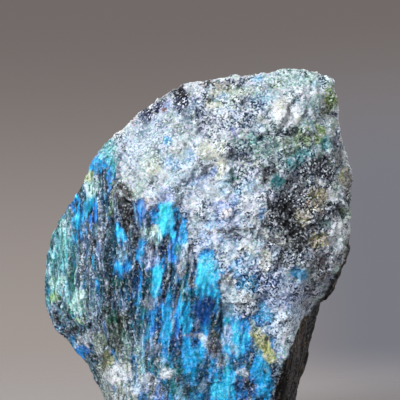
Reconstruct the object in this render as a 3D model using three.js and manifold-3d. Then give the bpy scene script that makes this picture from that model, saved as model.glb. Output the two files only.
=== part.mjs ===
// Rough labradorite chunk: one piece of broken feldspar, standing on its flat broken base.
// Millimetres, +Z up. The broad cleavage face looks along -Y, the weathered back along +Y.
// The origin is the middle of the part's footprint box, on the plane that it rests on.

import * as THREE from "three";
import { mergeVertices } from "three/addons/utils/BufferGeometryUtils.js";
import { ImprovedNoise } from "three/addons/math/ImprovedNoise.js";
import Module from "manifold-3d";

// ---------------------------------------------------------------- driving dimensions (mm)
const CENTRE = new THREE.Vector3(-2, 0, 47); // every ray of the surface starts here
const HALF_SIZE = new THREE.Vector3(39, 23, 50); // spreads the facets evenly over a tall, thin body
const ICO_DETAIL = 19; // 20 * 20 * 20 triangles
const REACH = 75; // longer than the longest ray
const EDGE_ROUND = 1.1; // how softly neighbouring fracture planes meet
const OUTLINE_EASE = 0.35; // what rounding and wear take off the rim again
const RELIEF_BROAD = 1.15; // height of the broad undulation
const RELIEF_LUMPS = 0.62; // height of lumps about 8 mm across
const RELIEF_CHIPS = 0.34; // height of chips about 4 mm across
const RIB_HEIGHT = 0.55; // cleavage ribs on the striated side
const RIB_PITCH = 4.6; // across the ribs
const WEAR_PASSES = 2; // each pass rubs the sharpest creases down a little
const WEAR = 0.4; // how far a pass moves a point towards its neighbours
const BASE_Z = 0; // the broken base

// Outline of the chunk seen from the front, clockwise from the top: [x, z].
const OUTLINE = [
  [-6.6, 93.1],
  [-3.4, 94.0],
  [3.0, 94.1],
  [8.3, 95.4],
  [15.8, 96.8],
  [21.6, 97.0],
  [26.3, 96.7],
  [32.2, 96.5],
  [34.3, 91.0],
  [34.3, 83.6],
  [34.9, 79.6],
  [36.0, 75.8],
  [37.1, 70.8],
  [36.5, 59.7],
  [36.3, 52.7],
  [34.9, 44.8],
  [33.4, 41.0],
  [30.8, 37.4],
  [30.0, 32.4],
  [29.2, 29.8],
  [29.0, 23.0],
  [27.4, 16.8],
  [25.6, 13.7],
  [24.9, 9.0],
  [23.6, 3.0],
  [22.6, -3.0],
  [21.6, -9.0],
  [-21.6, -9.0],
  [-22.6, -2.0],
  [-23.8, 5.0],
  [-25.4, 10.7],
  [-27.8, 16.4],
  [-30.1, 20.0],
  [-34.0, 24.8],
  [-38.4, 29.4],
  [-40.6, 33.5],
  [-41.0, 39.3],
  [-40.4, 49.3],
  [-38.1, 57.6],
  [-35.2, 62.8],
  [-32.2, 66.3],
  [-29.9, 69.5],
  [-27.6, 75.9],
  [-23.6, 79.3],
  [-19.5, 83.2],
  [-15.7, 87.2],
  [-11.9, 89.5],
];

// How the rim is bevelled round the outline, by the angle of the rim point seen from the centre (degrees, 0 = +X, 90 = up):
// [angle, y where the outline runs, bevel to the front (deg from the rim wall), bevel to the back]
const RIM = [
  [-180, 0.5, 40, 44],
  [-150, 2.0, 34, 38],
  [-128, 3.0, 22, 20],
  [-104, 1.0, 10, 8],
  [-76, 5.0, 10, 8],
  [-58, 12.0, 14, 22],
  [-40, 13.0, 15, 40],
  [-24, 10.0, 14, 46],
  [-12, -5.0, 34, 22],
  [6, -12.0, 50, 15],
  [30, -11.0, 52, 20],
  [50, -10.5, 50, 26],
  [62, -11.0, 56, 30],
  [90, -10.0, 54, 32],
  [112, -9.0, 50, 30],
  [140, -10.5, 50, 22],
  [160, -4.0, 46, 34],
  [180, 0.5, 40, 44],
];

// Fracture planes: a point on each and the way it faces.
const PLANES = [
  // front
  { at: [4, -20.8, 62], faces: [-0.04, -0.985, 0.16] },
  { at: [-16, -19.2, 44], faces: [-0.27, -0.958, -0.05] },
  { at: [24, -18.6, 62], faces: [0.24, -0.965, 0.07] },
  { at: [2, -20.8, 30], faces: [0.02, -0.99, -0.12] },
  { at: [-22, -15.4, 24], faces: [-0.37, -0.91, -0.18] },
  { at: [-32, -10.5, 47], faces: [-0.66, -0.75, 0.02] },
  { at: [-8, -16.6, 84], faces: [-0.16, -0.9, 0.4] },
  // back
  { at: [2, 20.5, 50], faces: [0.06, 0.993, 0.1] },
  { at: [-20, 16.4, 46], faces: [-0.46, 0.88, 0.06] },
  { at: [22, 16.8, 58], faces: [0.44, 0.88, 0.18] },
  { at: [2, 18.9, 20], faces: [-0.08, 0.97, -0.2] },
  { at: [6, 13.0, 82], faces: [0.08, 0.78, 0.62] },
  { at: [-18, 10.5, 74], faces: [-0.5, 0.66, 0.56] },
  { at: [-26, 11.6, 26], faces: [-0.58, 0.76, -0.28] },
  // knocked-off corners
  { at: [33.6, -11.6, 95.8], faces: [0.5, -0.6, 0.62] },
  { at: [32.5, 12, 46], faces: [0.72, 0.66, -0.2] },
  { at: [-38.4, 8, 30], faces: [-0.74, 0.5, -0.44] },
  { at: [16, 17.4, 8], faces: [0.42, 0.88, -0.2] },
  { at: [21.6, -17.2, 14], faces: [0.6, -0.78, -0.16] },
  { at: [-21, -14.5, 6], faces: [-0.46, -0.86, -0.22] },
];

// Hollows knocked into the surface: centre, radii, depth.
const DENTS = [
  { at: [-34.5, -2, 66.5], r: [5, 12, 5], depth: 0.6 },
  { at: [10, -21, 34], r: [8, 6, 7], depth: 0.9 },
  { at: [-3, -21, 47], r: [5, 6, 12], depth: 0.7 },
  { at: [22, -20, 58], r: [9, 6, 7], depth: 0.8 },
  { at: [-26, -16, 36], r: [7, 6, 12], depth: 0.8 },
  { at: [4, -18, 88], r: [12, 6, 3], depth: 0.5 },
  { at: [-16, 18, 60], r: [10, 6, 9], depth: 1.3 },
  { at: [14, 20, 44], r: [11, 6, 12], depth: 1.2 },
  { at: [-4, 18, 22], r: [12, 6, 8], depth: 1.1 },
  { at: [20, 15, 76], r: [9, 7, 8], depth: 1.1 },
];

// ---------------------------------------------------------------- the shape as a field, below 0 inside
const noise = new ImprovedNoise();
const n3 = (x, y, z, size, shift) =>
  noise.noise(x / size + shift, y / size + shift * 1.7, z / size - shift * 0.6);

const planes = PLANES.map(({ at, faces }) => {
  const n = new THREE.Vector3(...faces).normalize();
  return { n, d: n.dot(new THREE.Vector3(...at)) };
});

const outline = OUTLINE.map(([x, z]) => new THREE.Vector2(x, z));

// Signed distance to the outline in the XZ plane, below 0 inside.
function toOutline(x, z) {
  let best = Infinity;
  let inside = false;
  for (let i = 0, j = outline.length - 1; i < outline.length; j = i++) {
    const a = outline[j];
    const b = outline[i];
    const ex = b.x - a.x;
    const ez = b.y - a.y;
    const wx = x - a.x;
    const wz = z - a.y;
    const t = Math.min(1, Math.max(0, (wx * ex + wz * ez) / (ex * ex + ez * ez)));
    best = Math.min(best, Math.hypot(wx - ex * t, wz - ez * t));
    if (a.y > z !== b.y > z && x < a.x + ((z - a.y) / ez) * ex) inside = !inside;
  }
  return (inside ? -best : best) - OUTLINE_EASE;
}

function rimAt(x, z) {
  const angle = THREE.MathUtils.radToDeg(Math.atan2(z - CENTRE.z, x - CENTRE.x));
  let k = 0;
  while (k < RIM.length - 2 && angle > RIM[k + 1][0]) k++;
  const [a0, ...low] = RIM[k];
  const [a1, ...high] = RIM[k + 1];
  const t = THREE.MathUtils.smoothstep(angle, a0, a1);
  return low.map((v, i) => v + (high[i] - v) * t);
}

// The larger of two distances, with the edge between them rounded over k.
function smoothMax(a, b, k) {
  const h = Math.max(k - Math.abs(a - b), 0) / k;
  return Math.max(a, b) + (h * h * k) / 4;
}

const smooth = THREE.MathUtils.smoothstep;

function field(p) {
  const { x, y, z } = p;
  const d2 = toOutline(x, z);
  const [ys, frontBevel, backBevel] = rimAt(x, z);
  const front = THREE.MathUtils.degToRad(frontBevel);
  const back = THREE.MathUtils.degToRad(backBevel);
  const t = y - ys;
  let f = smoothMax(
    d2 * Math.cos(front) - t * Math.sin(front),
    d2 * Math.cos(back) + t * Math.sin(back),
    EDGE_ROUND,
  );
  for (const { n, d } of planes) f = smoothMax(f, n.dot(p) - d, EDGE_ROUND);

  // Relief, held back a little at the outline so that the silhouette stays true.
  const calm = 0.45 + 0.55 * smooth(-d2, 0, 7);
  let relief = RELIEF_BROAD * n3(x, y, z, 21, 3.1);
  relief += RELIEF_LUMPS * n3(x, y, z, 8.5, 7.7);
  relief += RELIEF_CHIPS * n3(x, y, z, 4.2, 1.3);

  // Cleavage ribs: long steps that run nearly straight up the front left side, a little fanned.
  const striated = smooth(-y, 4, 12) * smooth(8 - x + (50 - z) * 0.25, 0, 12) * (1 - smooth(z, 70, 84));
  const across = x + (z - 45) * (0.1 + x * 0.004) + 1.6 * n3(x, y, z, 26, 5.5);
  const phase = across / RIB_PITCH + 0.5 * n3(x, y, z, 15, 9.2);
  const saw = phase - Math.floor(phase);
  const step = saw < 0.72 ? saw / 0.72 : (1 - saw) / 0.28;
  relief += striated * RIB_HEIGHT * (step - 0.5) * (0.55 + 0.9 * Math.abs(n3(x, y, z, 12, 4.4)));

  f -= relief * calm;
  for (const { at, r, depth } of DENTS) {
    const q =
      ((x - at[0]) / r[0]) ** 2 + ((y - at[1]) / r[1]) ** 2 + ((z - at[2]) / r[2]) ** 2;
    f += depth * Math.exp(-q);
  }
  return f;
}

// ---------------------------------------------------------------- the surface
const geometry = new THREE.IcosahedronGeometry(1, ICO_DETAIL);
geometry.deleteAttribute("normal");
geometry.deleteAttribute("uv");
const skin = mergeVertices(geometry, 1e-5);
const position = skin.getAttribute("position");
const ray = new THREE.Vector3();
const probe = new THREE.Vector3();
for (let i = 0; i < position.count; i++) {
  ray.fromBufferAttribute(position, i).multiply(HALF_SIZE).normalize();
  let low = 0;
  let high = REACH;
  for (let t = 4; t < REACH; t += 1) {
    if (field(probe.copy(CENTRE).addScaledVector(ray, t)) > 0) {
      high = t;
      low = t - 1;
      break;
    }
  }
  for (let k = 0; k < 18; k++) {
    const middle = (low + high) / 2;
    if (field(probe.copy(CENTRE).addScaledVector(ray, middle)) > 0) high = middle;
    else low = middle;
  }
  probe.copy(CENTRE).addScaledVector(ray, (low + high) / 2);
  position.setXYZ(i, probe.x, probe.y, probe.z);
}

// Wear: every point moves a little towards the middle of its neighbours.
const neighbours = Array.from({ length: position.count }, () => new Set());
for (let i = 0; i < skin.index.count; i += 3)
  for (let k = 0; k < 3; k++) {
    const a = skin.index.getX(i + k);
    const b = skin.index.getX(i + ((k + 1) % 3));
    neighbours[a].add(b);
    neighbours[b].add(a);
  }
for (let pass = 0; pass < WEAR_PASSES; pass++) {
  const before = position.array.slice();
  const mean = new THREE.Vector3();
  const other = new THREE.Vector3();
  for (let i = 0; i < position.count; i++) {
    mean.set(0, 0, 0);
    for (const j of neighbours[i]) mean.add(other.fromArray(before, 3 * j));
    mean.divideScalar(neighbours[i].size);
    probe.fromArray(before, 3 * i).lerp(mean, WEAR);
    position.setXYZ(i, probe.x, probe.y, probe.z);
  }
}

// ---------------------------------------------------------------- the base, cut flat
const wasm = await Module();
wasm.setup();

function toSolid(shape) {
  const bare = shape.clone();
  for (const name of Object.keys(bare.attributes)) if (name !== "position") bare.deleteAttribute(name);
  const merged = mergeVertices(bare, 1e-4);
  return new wasm.Manifold(
    new wasm.Mesh({
      numProp: 3,
      vertProperties: new Float32Array(merged.getAttribute("position").array),
      triVerts: new Uint32Array(merged.index.array),
    }),
  );
}

const below = new THREE.BoxGeometry(160, 160, 60).translate(0, 0, BASE_Z - 30);
const cut = toSolid(skin).subtract(toSolid(below)).getMesh();
const chunk = new THREE.BufferGeometry();
const corners = new Float32Array(cut.numVert * 3);
for (let i = 0; i < cut.numVert; i++)
  corners.set(cut.vertProperties.subarray(i * cut.numProp, i * cut.numProp + 3), i * 3);
chunk.setAttribute("position", new THREE.BufferAttribute(corners, 3));
chunk.setIndex(new THREE.BufferAttribute(new Uint32Array(cut.triVerts), 1));

// The origin goes to the middle of the footprint box.
chunk.computeBoundingBox();
const { min, max } = chunk.boundingBox;
chunk.translate(-(min.x + max.x) / 2, -(min.y + max.y) / 2, 0);
chunk.computeVertexNormals();

// ---------------------------------------------------------------- the part
const labradorite = new THREE.MeshStandardMaterial({
  color: new THREE.Color(0.36, 0.42, 0.46),
  roughness: 0.55,
  metalness: 0.0,
});

const part = new THREE.Group();
const stone = new THREE.Mesh(chunk, labradorite);
stone.name = "labradorite_chunk";
part.add(stone);

export default part;
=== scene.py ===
import math

import bmesh
import bpy
import numpy as np
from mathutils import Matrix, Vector


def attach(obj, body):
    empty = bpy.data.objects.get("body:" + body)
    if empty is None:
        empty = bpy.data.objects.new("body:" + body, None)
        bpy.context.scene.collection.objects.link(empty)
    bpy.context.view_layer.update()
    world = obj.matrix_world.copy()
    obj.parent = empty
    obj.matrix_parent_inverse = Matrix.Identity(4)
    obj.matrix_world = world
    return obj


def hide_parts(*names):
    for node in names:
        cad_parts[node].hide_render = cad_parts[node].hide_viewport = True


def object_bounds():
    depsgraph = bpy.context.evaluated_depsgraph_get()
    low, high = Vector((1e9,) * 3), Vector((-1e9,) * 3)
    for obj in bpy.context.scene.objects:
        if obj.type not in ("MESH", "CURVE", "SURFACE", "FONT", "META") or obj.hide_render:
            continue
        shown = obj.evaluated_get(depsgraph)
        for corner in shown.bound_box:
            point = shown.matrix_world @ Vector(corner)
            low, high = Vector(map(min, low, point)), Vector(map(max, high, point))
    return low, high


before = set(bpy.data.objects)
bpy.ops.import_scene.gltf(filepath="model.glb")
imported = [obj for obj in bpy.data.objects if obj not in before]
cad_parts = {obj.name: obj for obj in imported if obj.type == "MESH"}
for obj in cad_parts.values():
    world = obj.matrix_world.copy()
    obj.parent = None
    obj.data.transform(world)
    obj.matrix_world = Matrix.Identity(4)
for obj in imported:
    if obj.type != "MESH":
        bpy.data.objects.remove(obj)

NODE = "labradorite_chunk"
MM = 0.001
FRONT_PLANE = -9.6       # y of the rim, where the front-view millimetres are measured
EYE = np.array([0.93, -384.6, 76.8])   # the point in front of the stone that the front view is measured from
FINE = 0.755             # mesh spacing; half of it where the broad face, the rim and the right flank show
cad_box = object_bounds()
scene = bpy.context.scene

# ---------------------------------------------------------------- colours, sRGB 0..255
PALETTE = {
    "white": (232, 238, 242), "ice": (190, 212, 224), "mist": (168, 184, 196), "cream": (216, 214, 188),
    "celadon": (184, 198, 174), "peach": (206, 180, 160), "mauve": (130, 134, 144), "paleblue": (150, 192, 228),
    "sky": (140, 196, 226), "skyblue": (96, 184, 232), "lilac": (156, 168, 212), "periwinkle": (126, 154, 206),
    "violet": (112, 112, 196), "slate": (76, 92, 116), "seagrey": (108, 140, 140), "dark": (46, 50, 60),
    "black": (11, 13, 19), "indigo": (22, 32, 76), "umber": (58, 50, 48), "brown": (98, 76, 62),
    "taupe": (116, 108, 104), "rust": (116, 52, 34), "tan": (152, 142, 106), "straw": (184, 184, 108),
    "yellow": (212, 222, 150), "lime": (148, 174, 92), "moss": (104, 132, 72), "olive": (84, 90, 48),
    "darkolive": (42, 54, 38), "green": (30, 112, 88), "mint": (172, 210, 194), "aqua": (112, 190, 186),
    "teal": (44, 134, 142), "petrol": (32, 100, 108), "lakeblue": (52, 134, 178), "deepteal": (6, 52, 66),
    "azure": (10, 134, 208), "blue": (16, 96, 190), "deepblue": (0, 66, 130), "steel": (40, 90, 124),
}
# A flash's colours from its faint edge to its brightest middle, sea green, azure and royal blue.
GLOW = [
    [(4, 44, 48), (2, 84, 88), (4, 132, 138), (24, 176, 184), (84, 208, 210)],
    [(2, 40, 66), (0, 82, 132), (0, 132, 202), (0, 182, 244), (56, 212, 252)],
    [(4, 28, 76), (0, 64, 146), (0, 104, 212), (10, 146, 244), (70, 190, 255)],
]

# Patches of colour on the broad face: colour, x and z of the middle in the front view, half length, half width
# (mm), lean (degrees, the top leaning right), amount.
# -- patches begin
PATCHES = [
    ("mist", -16.8, 71.2, 5.5, 3.0, 0, 0.35),
    ("celadon", -11.1, 73.2, 3.0, 2.5, 0, 0.5),
    ("white", 0.9, 78.8, 6.0, 6.5, 0, 0.25),
    ("mist", -14.1, 76.2, 5.0, 4.0, 0, 0.45),
    ("slate", -13.8, 80.8, 2.0, 2.25, 30, 0.45),
    ("slate", -8.3, 81.8, 3.0, 1.25, 50, 0.5),
    ("mauve", -7.1, 76.2, 2.0, 1.5, 0, 0.4),
    ("mauve", -15.8, 69.8, 3.5, 2.0, 0, 0.3),
    ("cream", 6.2, 73.8, 4.5, 1.25, 8, 0.7),
    ("white", 2.2, 65.0, 5.0, 3.5, 60, 0.4),
    ("celadon", 9.9, 89.5, 2.25, 3.5, 90, 0.6),
    ("cream", 2.9, 76.2, 2.75, 2.5, 0, 0.6),
    ("skyblue", -7.2, 78.9, 1.25, 1.38, 0, 0.85),
    ("celadon", -12.1, 73.8, 4.0, 3.0, 0, 0.35),
    ("celadon", -6.1, 83.8, 1.75, 2.0, 0, 0.45),
    ("cream", -11.6, 70.8, 3.0, 1.5, 0, 0.3),
    ("cream", -4.6, 82.2, 1.25, 1.25, 0, 0.3),
    ("mist", -10.3, 66.8, 3.5, 2.0, 0, 0.35),
    ("mist", -11.6, 78.8, 4.5, 3.0, 0, 0.3),
    ("paleblue", -5.6, 73.2, 2.25, 2.25, 0, 0.75),
    ("paleblue", -1.6, 75.0, 2.0, 1.5, 0, 0.7),
    ("slate", -2.1, 68.5, 3.0, 0.9, 62, 0.9),
    ("slate", -0.1, 70.8, 2.5, 1.5, 62, 0.55),
    ("periwinkle", 0.9, 69.2, 2.5, 1.0, 50, 0.7),
    ("blue", 3.9, 70.8, 1.75, 1.0, 40, 0.5),
    ("lilac", -7.3, 65.2, 2.0, 2.5, 0, 0.75),
    ("lilac", 0.2, 66.2, 3.0, 0.75, 50, 0.6),
    ("lilac", 4.4, 62.8, 2.0, 2.5, 0, 0.6),
    ("periwinkle", 7.9, 63.0, 2.0, 2.5, 0, 0.75),
    ("skyblue", 3.9, 58.2, 1.75, 1.5, 0, 0.5),
    ("slate", -4.6, 63.2, 3.5, 0.45, 35, 0.7),
    ("peach", 7.2, 60.5, 1.0, 1.0, 0, 0.6),
    ("peach", 7.4, 64.2, 0.75, 1.25, 0, 0.35),
    ("slate", 8.2, 55.5, 1.25, 3.5, 90, 0.5),
    ("periwinkle", 4.9, 58.2, 3.0, 2.0, 0, 0.4),
    ("skyblue", 10.4, 65.8, 1.25, 1.0, 0, 0.7),
    ("teal", 8.4, 69.8, 2.0, 1.75, 30, 0.6),
    ("green", 10.2, 69.5, 1.0, 1.0, 0, 0.85),
    ("azure", 16.2, 60.5, 1.5, 1.0, 10, 0.6),
    ("slate", 10.9, 76.2, 3.5, 2.25, 60, 0.5),
    ("slate", 9.9, 73.2, 1.5, 3.5, 90, 0.45),
    ("white", 13.4, 63.8, 5.0, 2.5, 20, 0.35),
    ("sky", 6.4, 66.8, 1.75, 1.25, 0, 0.5),
    ("slate", -1.6, 82.8, 4.0, 2.0, 60, 0.5),
    ("slate", 2.4, 81.8, 2.5, 1.75, 0, 0.5),
    ("slate", 12.7, 88.8, 3.0, 1.75, 60, 0.7),
    ("slate", 16.4, 88.0, 1.5, 2.0, 90, 0.5),
    ("dark", 8.9, 80.2, 1.25, 2.5, 90, 0.5),
    ("slate", 12.4, 75.8, 1.5, 3.0, 90, 0.6),
    ("celadon", -4.1, 75.8, 2.0, 2.0, 0, 0.3),
    ("sky", 12.9, 67.2, 2.0, 1.5, 0, 0.5),
    # painted highlight on the pale chamfer: two white strips along the top rim
    ("white", -11.6, 88.5, 0.8, 3.5, 0, 0.9),
    ("white", -6.1, 91.8, 0.75, 3.5, 0, 0.9),
    ("indigo", -11.6, 85.5, 2.75, 2.0, 50, 0.95),
    ("indigo", -9.6, 87.2, 2.0, 1.75, 60, 0.9),
    ("periwinkle", -7.6, 87.2, 1.5, 0.75, 60, 0.4),
    ("indigo", -1.6, 85.0, 3.0, 0.45, -62, 0.8),
    ("mauve", 4.4, 84.2, 1.25, 3.0, 90, 0.5),
    ("indigo", -3.8, 88.5, 3.25, 2.0, 0, 0.95),
    ("black", -4.3, 90.8, 1.75, 1.75, 0, 0.95),
    ("periwinkle", -0.8, 88.2, 1.5, 1.25, 0, 0.5),
    ("rust", -8.1, 85.8, 0.55, 1.0, 90, 0.9),
    ("rust", -15.8, 83.2, 0.62, 0.75, 0, 0.6),
    ("brown", 3.2, 93.0, 0.88, 2.25, 0, 0.8),
    ("brown", 6.4, 92.2, 1.25, 2.25, 0, 0.6),
    ("straw", 4.4, 87.5, 0.75, 2.5, 0, 0.6),
    ("slate", 0.4, 85.0, 0.6, 3.5, -8, 0.85),
    ("slate", 12.4, 87.8, 1.25, 3.5, 0, 0.5),
    ("mist", -16.1, 81.8, 1.5, 2.25, 0, 0.5),
    ("slate", -1.6, 85.8, 2.0, 3.0, 0, 0.45),
    ("violet", 9.9, 81.0, 1.0, 1.75, 0, 0.5),
    ("white", 4.7, 85.8, 2.0, 3.0, 0, 0.4),
    ("black", -7.8, 89.5, 0.75, 2.0, 0, 0.6),
    ("celadon", 13.9, 90.8, 1.5, 3.0, 0, 0.5),
    ("slate", -14.1, 83.8, 2.0, 1.5, 30, 0.5),
    ("mint", 25.2, 93.8, 2.75, 8.5, 0, 0.5),
    ("skyblue", 15.4, 94.5, 1.0, 1.25, 0, 0.7),
    ("moss", 19.4, 93.0, 1.0, 1.75, 0, 0.6),
    ("teal", 24.9, 89.0, 1.0, 1.5, 0, 0.6),
    ("white", 21.9, 86.2, 3.5, 3.5, 0, 0.95),
    ("cream", 21.2, 86.8, 2.0, 2.0, 0, 0.5),
    ("moss", 33.4, 89.0, 3.25, 1.75, 0, 0.75),
    ("lime", 33.4, 89.2, 2.5, 1.5, 0, 0.6),
    ("olive", 32.4, 86.8, 1.75, 1.25, 0, 0.6),
    ("seagrey", 29.2, 87.8, 1.75, 2.0, 0, 0.7),
    ("white", 27.2, 90.8, 1.25, 3.5, 0, 0.5),
    ("moss", 26.9, 78.8, 3.0, 2.25, 0, 0.8),
    ("moss", 19.9, 78.8, 2.0, 2.5, 0, 0.45),
    ("lime", 31.2, 80.2, 2.25, 1.25, 0, 0.85),
    ("teal", 32.9, 77.5, 2.25, 1.5, 0, 0.8),
    ("teal", 27.2, 76.0, 1.5, 2.5, 0, 0.75),
    ("teal", 24.4, 73.0, 2.75, 2.0, 35, 0.85),
    ("seagrey", 18.4, 78.0, 2.5, 2.25, 0, 0.8),
    ("seagrey", 12.7, 77.8, 2.0, 3.5, 0, 0.75),
    ("aqua", 14.4, 78.8, 1.25, 1.25, 0, 0.6),
    ("black", 23.9, 81.0, 1.0, 1.75, 0, 0.8),
    ("dark", 18.4, 71.0, 1.75, 2.0, 0, 0.7),
    ("petrol", 20.4, 68.0, 1.88, 1.75, 0, 1.0),
    ("dark", 31.4, 71.5, 3.0, 4.5, 0, 0.8),
    ("dark", 35.4, 76.2, 3.5, 1.5, 0, 0.65),
    ("white", 31.7, 67.6, 0.5, 1.5, 20, 0.8),
    ("tan", 36.9, 69.2, 2.75, 1.5, 0, 0.75),
    ("straw", 36.4, 69.8, 1.5, 0.75, 0, 0.4),
    ("olive", 37.9, 66.2, 3.5, 1.0, 0, 0.6),
    ("dark", 37.4, 63.2, 2.0, 1.25, 0, 0.6),
    ("moss", 37.9, 60.2, 2.5, 1.0, 0, 0.5),
    ("olive", 37.4, 52.0, 2.5, 1.0, 10, 0.6),
    ("dark", 33.4, 40.8, 1.75, 1.25, 40, 0.6),
    ("olive", 32.7, 38.8, 1.75, 0.75, 40, 0.5),
    ("dark", 30.7, 37.5, 1.75, 1.0, 40, 0.5),
    ("brown", 27.4, 37.5, 1.5, 1.0, 0, 0.5),
    ("brown", 31.2, 45.5, 1.5, 1.0, 0, 0.4),
    ("white", 34.9, 64.8, 1.5, 1.5, 0, 0.5),
    ("dark", 15.4, 71.8, 1.25, 2.25, 0, 0.5),
    ("slate", 9.9, 74.8, 1.0, 4.0, 0, 0.5),
    ("black", 11.7, 74.0, 0.75, 2.25, 0, 0.6),
    ("moss", 23.4, 77.0, 2.5, 2.0, 0, 0.35),
    ("sky", 16.4, 88.8, 2.0, 3.0, 0, 0.35),
    ("sky", 30.4, 92.8, 1.25, 2.0, 0, 0.4),
    ("black", 22.2, 60.8, 3.75, 3.75, 0, 1.0),
    ("black", 24.2, 56.2, 2.75, 3.25, 0, 1.0),
    ("black", 26.4, 52.8, 2.0, 3.0, 0, 0.9),
    ("black", 19.7, 62.5, 2.0, 2.0, 0, 0.8),
    ("black", 17.9, 58.2, 1.25, 2.0, 0, 0.6),
    ("dark", 19.9, 54.8, 1.5, 2.5, 0, 0.6),
    ("tan", 30.4, 64.0, 3.25, 2.75, 0, 0.95),
    ("tan", 26.9, 59.5, 3.0, 2.0, 0, 0.9),
    ("tan", 31.2, 53.8, 2.25, 3.0, 0, 0.9),
    ("brown", 31.2, 48.5, 1.25, 2.0, 0, 0.6),
    ("dark", 33.9, 60.8, 2.5, 2.25, 0, 0.75),
    # painted light: white patch on the right edge, brightened where less lamp light falls
    ("white", 35.7, 55.5, 4.5, 2.5, 0, 1.0),
    ("mint", 36.2, 53.8, 2.0, 1.25, 0, 0.3),
    ("moss", 37.2, 58.0, 1.0, 0.88, 0, 0.7),
    ("seagrey", 32.4, 58.2, 1.75, 1.75, 0, 0.5),
    ("lakeblue", 25.8, 45.5, 1.88, 2.5, 0, 1.0),
    ("dark", 21.7, 48.2, 2.25, 3.0, 0, 0.7),
    ("dark", 28.9, 48.8, 2.25, 2.5, 0, 0.65),
    ("mint", 34.9, 46.5, 1.25, 1.0, 0, 0.7),
    ("brown", 28.7, 40.8, 1.25, 1.25, 0, 0.6),
    ("slate", 25.9, 50.0, 1.5, 3.0, 0, 0.5),
    ("cream", 17.4, 48.5, 3.75, 1.5, 0, 0.55),
    ("black", 20.7, 51.8, 1.0, 2.5, 0, 0.6),
    ("dark", 30.4, 43.8, 1.5, 2.0, 0, 0.5),
    ("periwinkle", 19.4, 42.8, 1.5, 2.0, 0, 0.6),
    ("lilac", 21.9, 38.5, 1.5, 2.0, 0, 0.6),
    ("periwinkle", 18.2, 38.8, 2.0, 1.75, 0, 0.6),
    ("skyblue", 12.9, 42.8, 2.0, 2.0, 0, 0.8),
    ("ice", 11.2, 39.5, 2.75, 3.75, 0, 0.9),
    ("white", 11.7, 39.2, 2.0, 2.0, 0, 0.7),
    ("ice", 8.9, 36.8, 2.5, 2.5, 0, 0.5),
    ("paleblue", 12.2, 48.5, 2.75, 2.0, 0, 0.6),
    ("skyblue", 17.2, 35.5, 1.5, 2.5, 60, 0.7),
    ("sky", 9.9, 46.8, 2.0, 1.5, 0, 0.6),
    ("white", 22.2, 32.5, 4.0, 2.75, 20, 0.45),
    ("white", 22.9, 28.2, 2.0, 1.5, 20, 0.4),
    ("paleblue", 19.9, 31.2, 3.0, 1.5, 20, 0.35),
    ("periwinkle", 23.9, 38.8, 2.5, 2.0, 0, 0.4),
    ("yellow", 14.9, 31.0, 2.5, 1.0, -25, 0.45),
    ("straw", 16.2, 28.2, 3.0, 1.5, -32, 0.9),
    ("straw", 18.4, 24.8, 2.5, 1.25, -38, 0.75),
    ("olive", 16.4, 25.8, 2.25, 1.0, -35, 0.35),
    ("moss", 15.2, 26.5, 1.75, 1.0, -20, 0.5),
    ("yellow", -26.6, 69.8, 1.5, 0.88, 25, 0.7),
    ("mint", -25.8, 67.2, 2.5, 1.5, 20, 0.75),
    ("olive", -28.6, 66.8, 1.25, 0.75, 30, 0.7),
    ("black", -29.1, 67.2, 0.75, 0.75, 0, 0.6),
    ("tan", -21.3, 66.2, 3.0, 0.6, 3, 0.85),
    ("moss", -21.8, 62.0, 2.25, 0.75, 0, 0.6),
    ("umber", -19.3, 72.2, 3.0, 0.65, 0, 0.7),
    ("black", -20.1, 66.2, 3.0, 0.6, 0, 0.6),
    ("umber", -18.1, 64.2, 3.75, 2.25, 0, 0.9),
    ("black", -17.3, 58.5, 3.5, 1.75, 0, 1.0),
    ("black", -15.8, 53.0, 3.0, 0.85, 12, 0.75),
    ("black", -21.1, 59.0, 2.25, 0.75, 0, 0.8),
    ("black", -16.3, 49.2, 1.75, 0.75, 20, 0.5),
    ("black", -26.1, 53.5, 2.0, 0.85, 0, 0.7),
    ("black", -21.8, 55.8, 3.5, 0.65, -3, 0.7),
    ("deepteal", -21.8, 50.2, 6.0, 1.5, 0, 0.9),
    ("deepteal", -20.8, 43.2, 3.0, 1.5, 0, 0.7),
    ("steel", -16.3, 41.8, 3.0, 1.5, 4, 0.6),
    ("deepteal", -24.8, 57.2, 3.0, 0.75, 0, 0.5),
    ("deepteal", -23.8, 67.2, 3.0, 1.0, 0, 0.75),
    ("deepteal", -23.1, 61.8, 3.5, 0.9, 0, 0.6),
    ("aqua", -22.1, 76.5, 2.75, 1.5, 20, 0.65),
    ("teal", -20.8, 72.8, 2.5, 1.0, 15, 0.6),
    ("taupe", -24.6, 53.8, 3.5, 1.0, 0, 0.4),
    ("taupe", -28.1, 56.8, 1.5, 1.0, 0, 0.4),
    ("mauve", -17.6, 52.0, 1.75, 1.0, 0, 0.7),
    ("sky", -18.8, 50.0, 2.0, 1.5, 0, 0.7),
    ("lilac", -11.8, 48.8, 2.5, 2.0, 0, 0.7),
    ("mist", -1.6, 50.2, 2.75, 2.25, 0, 0.7),
    ("mist", -0.1, 53.8, 2.0, 2.0, 0, 0.35),
    ("ice", 7.2, 50.0, 3.5, 2.0, 20, 0.5),
    ("periwinkle", 2.2, 53.8, 1.75, 2.0, 0, 0.35),
    ("celadon", -13.3, 55.0, 2.0, 1.5, 0, 0.45),
    ("periwinkle", -24.8, 51.2, 3.0, 1.0, 0, 0.4),
    ("mauve", -27.6, 48.2, 4.0, 0.75, 0, 0.4),
    ("mauve", -23.8, 48.2, 4.0, 0.75, 0, 0.4),
    ("mint", -34.8, 43.0, 2.0, 1.5, 0, 0.7),
    ("mint", -33.8, 54.8, 4.0, 1.25, 10, 0.5),
    ("aqua", -34.1, 50.8, 4.25, 2.0, 4, 0.75),
    ("green", -31.8, 43.5, 3.25, 1.0, 0, 0.8),
    ("darkolive", -32.6, 45.0, 2.5, 0.75, 0, 0.4),
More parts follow.
